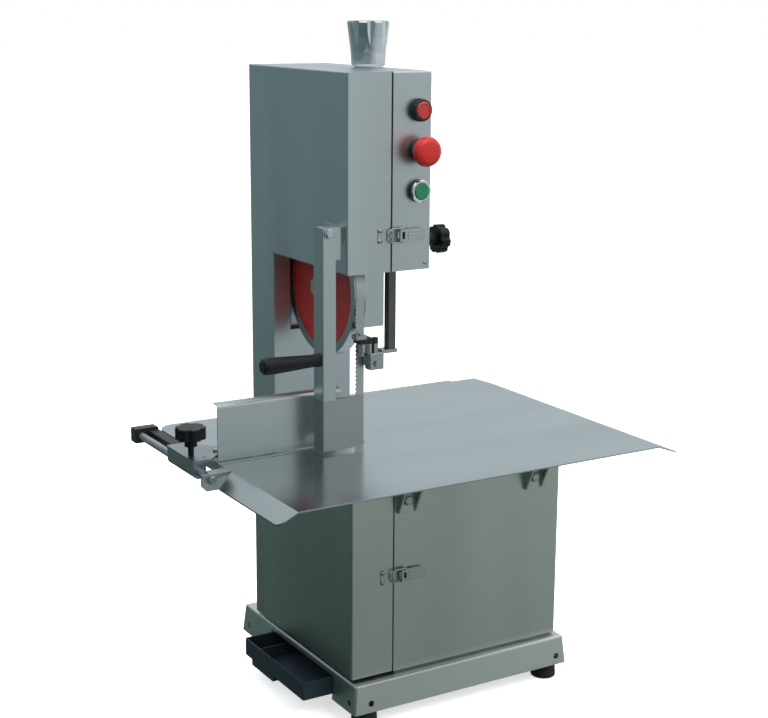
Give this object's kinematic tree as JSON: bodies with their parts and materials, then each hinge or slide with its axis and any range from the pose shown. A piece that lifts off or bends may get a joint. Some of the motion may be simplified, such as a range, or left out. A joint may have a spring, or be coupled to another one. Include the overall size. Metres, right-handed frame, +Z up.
{
  "type": "meat band saw",
  "caption": "Bench band saw for cutting meat and bone, with a sheet-steel cabinet, head, work table, fence on a rail and swinging pusher.",
  "frame": {"origin": "on the floor, at the centre of the four feet", "axes": "+Z up, +X to the right as the operator stands at the front, where the blade's teeth face -X and the meat is fed along +X; +Y away from the operator"},
  "size_m": [0.65, 0.515, 0.9744],
  "materials": {
    "sheet_steel": "brushed",
    "table_steel": "brushed",
    "rail_steel": "satin",
    "machined_steel": "machined",
    "blade_steel": "ground",
    "bright_trim": "polished",
    "red_casting": "painted web, machined rim",
    "black_plastic": "satin",
    "foot_rubber": "matt",
    "drawer_plastic": "satin",
    "scraper_plastic": "matt",
    "motor_casting": "cast",
    "red_lens": "clear",
    "red_button": "gloss",
    "green_button": "gloss"
  },
  "bodies": {
    "machine": {"base_pan": "sheet_steel", "rubber_feet": "foot_rubber", "fixing_screws": "bright_trim", "lower_cabinet": "sheet_steel", "cable_gland": "black_plastic", "lower_bulkhead": "sheet_steel", "cabinet_hinges": "sheet_steel", "bearing_housing": "machined_steel", "lower_bearings": "machined_steel", "motor_body": "motor_casting", "motor_shelf": "sheet_steel", "drive_belt": "foot_rubber", "saw_blade": "blade_steel", "blade_scrapers": "scraper_plastic", "head_frame": "sheet_steel", "upper_bulkhead": "sheet_steel", "disc_springs": "machined_steel", "button_bezels": "black_plastic", "lamp_lens": "red_lens", "contact_blocks": "black_plastic", "worktable": "table_steel", "blade_insert": "table_steel", "table_brackets": "sheet_steel", "rail_rod": "rail_steel", "rail_bracket": "rail_steel", "scale_bar": "black_plastic", "latch_bases": "bright_trim"},
    "upper_cover": {"upper_cover": "sheet_steel", "upper_latch_catch": "bright_trim", "pusher_hinge": "sheet_steel"},
    "lower_door": {"lower_door": "sheet_steel", "lower_latch_catch": "bright_trim"},
    "upper_lever": {"upper_latch_lever": "bright_trim"},
    "upper_loop": {"upper_latch_loop": "bright_trim"},
    "lower_lever": {"lower_latch_lever": "bright_trim"},
    "lower_loop": {"lower_latch_loop": "bright_trim"},
    "tension_knob": {"tension_knob": "bright_trim", "tension_screw": "machined_steel"},
    "tension_slide": {"tension_carriage": "machined_steel", "upper_axle": "machined_steel"},
    "upper_wheel": {"upper_wheel": "red_casting", "upper_bearings": "machined_steel"},
    "lower_drive": {"lower_shaft": "machined_steel", "lower_wheel": "red_casting", "driven_pulley": "machined_steel"},
    "motor_rotor": {"motor_pulley": "machined_steel"},
    "blade_guide": {"guide_bar": "machined_steel", "guide_holder": "bright_trim", "guide_pins": "machined_steel"},
    "thrust_roller": {"thrust_bearing": "machined_steel"},
    "guide_clamp": {"guide_clamp_knob": "black_plastic"},
    "stop_button": {"stop_head": "red_button"},
    "start_button": {"start_cap": "green_button"},
    "pusher": {"pusher_arm": "sheet_steel", "pusher_shoe": "sheet_steel", "pusher_handle": "black_plastic"},
    "fence": {"fence_carriage": "rail_steel", "fence_plate": "table_steel"},
    "fence_clamp": {"fence_clamp_knob": "black_plastic"},
    "drawer": {"bone_dust_drawer": "drawer_plastic"}
  },
  "joints": [
    {"name": "upper_cover_slide", "type": "slide", "parent": "machine", "child": "upper_cover", "axis": [-1, 0, 0], "range_m": [0, 0.11]},
    {"name": "lower_door_hinge", "type": "hinge", "parent": "machine", "child": "lower_door", "pos_m": [-0.116, 0.142, 0.2], "axis": [0, 0, -1], "range_deg": [0, 110]},
    {"name": "upper_lever_hinge", "type": "hinge", "parent": "machine", "child": "upper_lever", "pos_m": [-0.105, -0.155, 0.6945], "axis": [0, 0, -1], "range_deg": [0, 90]},
    {"name": "upper_loop_hinge", "type": "hinge", "parent": "upper_lever", "child": "upper_loop", "pos_m": [-0.099, -0.155, 0.6945], "axis": [0, 0, 1], "range_deg": [0, 90]},
    {"name": "lower_lever_hinge", "type": "hinge", "parent": "machine", "child": "lower_lever", "pos_m": [-0.105, -0.168, 0.2145], "axis": [0, 0, -1], "range_deg": [0, 90]},
    {"name": "lower_loop_hinge", "type": "hinge", "parent": "lower_lever", "child": "lower_loop", "pos_m": [-0.099, -0.168, 0.2145], "axis": [0, 0, 1], "range_deg": [0, 90]},
    {"name": "tension_knob_turn", "type": "hinge", "parent": "machine", "child": "tension_knob", "pos_m": [-0.084, -0.032, 0.94], "axis": [0, 0, 1], "range_deg": [0, 720.5]},
    {"name": "tension_slide_move", "type": "slide", "parent": "machine", "child": "tension_slide", "axis": [0, 0, 1], "range_m": [-0.006, 0]},
    {"name": "lower_wheel_spin", "type": "hinge", "parent": "machine", "child": "lower_drive", "pos_m": [-0.136, -0.015, 0.195], "axis": [1, 0, 0], "continuous": true},
    {"name": "upper_wheel_spin", "type": "hinge", "parent": "tension_slide", "child": "upper_wheel", "pos_m": [-0.136, -0.015, 0.606], "axis": [1, 0, 0], "continuous": true},
    {"name": "motor_spin", "type": "hinge", "parent": "machine", "child": "motor_rotor", "pos_m": [-0.084, 0.035, 0.3], "axis": [1, 0, 0], "continuous": true},
    {"name": "guide_slide", "type": "slide", "parent": "machine", "child": "blade_guide", "axis": [0, 0, 1], "range_m": [-0.1, 0]},
    {"name": "thrust_roller_spin", "type": "hinge", "parent": "blade_guide", "child": "thrust_roller", "pos_m": [-0.12665, -0.1125, 0.5155], "axis": [0, 1, 0], "continuous": true},
    {"name": "guide_clamp_turn", "type": "hinge", "parent": "machine", "child": "guide_clamp", "pos_m": [-0.045, -0.122, 0.68], "axis": [1, 0, 0], "range_deg": [0, 360]},
    {"name": "stop_press", "type": "slide", "parent": "machine", "child": "stop_button", "axis": [0, 1, 0], "range_m": [0, 0.004], "stiffness_N_per_m": 600},
    {"name": "start_press", "type": "slide", "parent": "machine", "child": "start_button", "axis": [0, 1, 0], "range_m": [0, 0.003], "stiffness_N_per_m": 600},
    {"name": "pusher_swing", "type": "hinge", "parent": "upper_cover", "child": "pusher", "pos_m": [-0.206, -0.14, 0.702], "axis": [0, 1, 0], "range_deg": [0, 80]},
    {"name": "fence_slide", "type": "slide", "parent": "machine", "child": "fence", "axis": [0, 1, 0], "range_m": [-0.014, 0.112]},
    {"name": "fence_clamp_turn", "type": "hinge", "parent": "fence", "child": "fence_clamp", "pos_m": [-0.384, -0.082, 0.43], "axis": [0, 0, 1], "range_deg": [0, 360]},
    {"name": "drawer_slide", "type": "slide", "parent": "machine", "child": "drawer", "axis": [-1, 0, 0], "range_m": [-0.044, 0.13]}
  ],
  "couplings": [
    {"joint": "upper_loop_hinge", "follows": "upper_lever_hinge", "ratio": 1},
    {"joint": "lower_loop_hinge", "follows": "lower_lever_hinge", "ratio": 1},
    {"joint": "tension_knob_turn", "follows": "tension_slide_move", "rad_per_m": -2094.4},
    {"joint": "upper_wheel_spin", "follows": "lower_wheel_spin", "ratio": 1},
    {"joint": "motor_spin", "follows": "lower_wheel_spin", "ratio": 2}
  ]
}
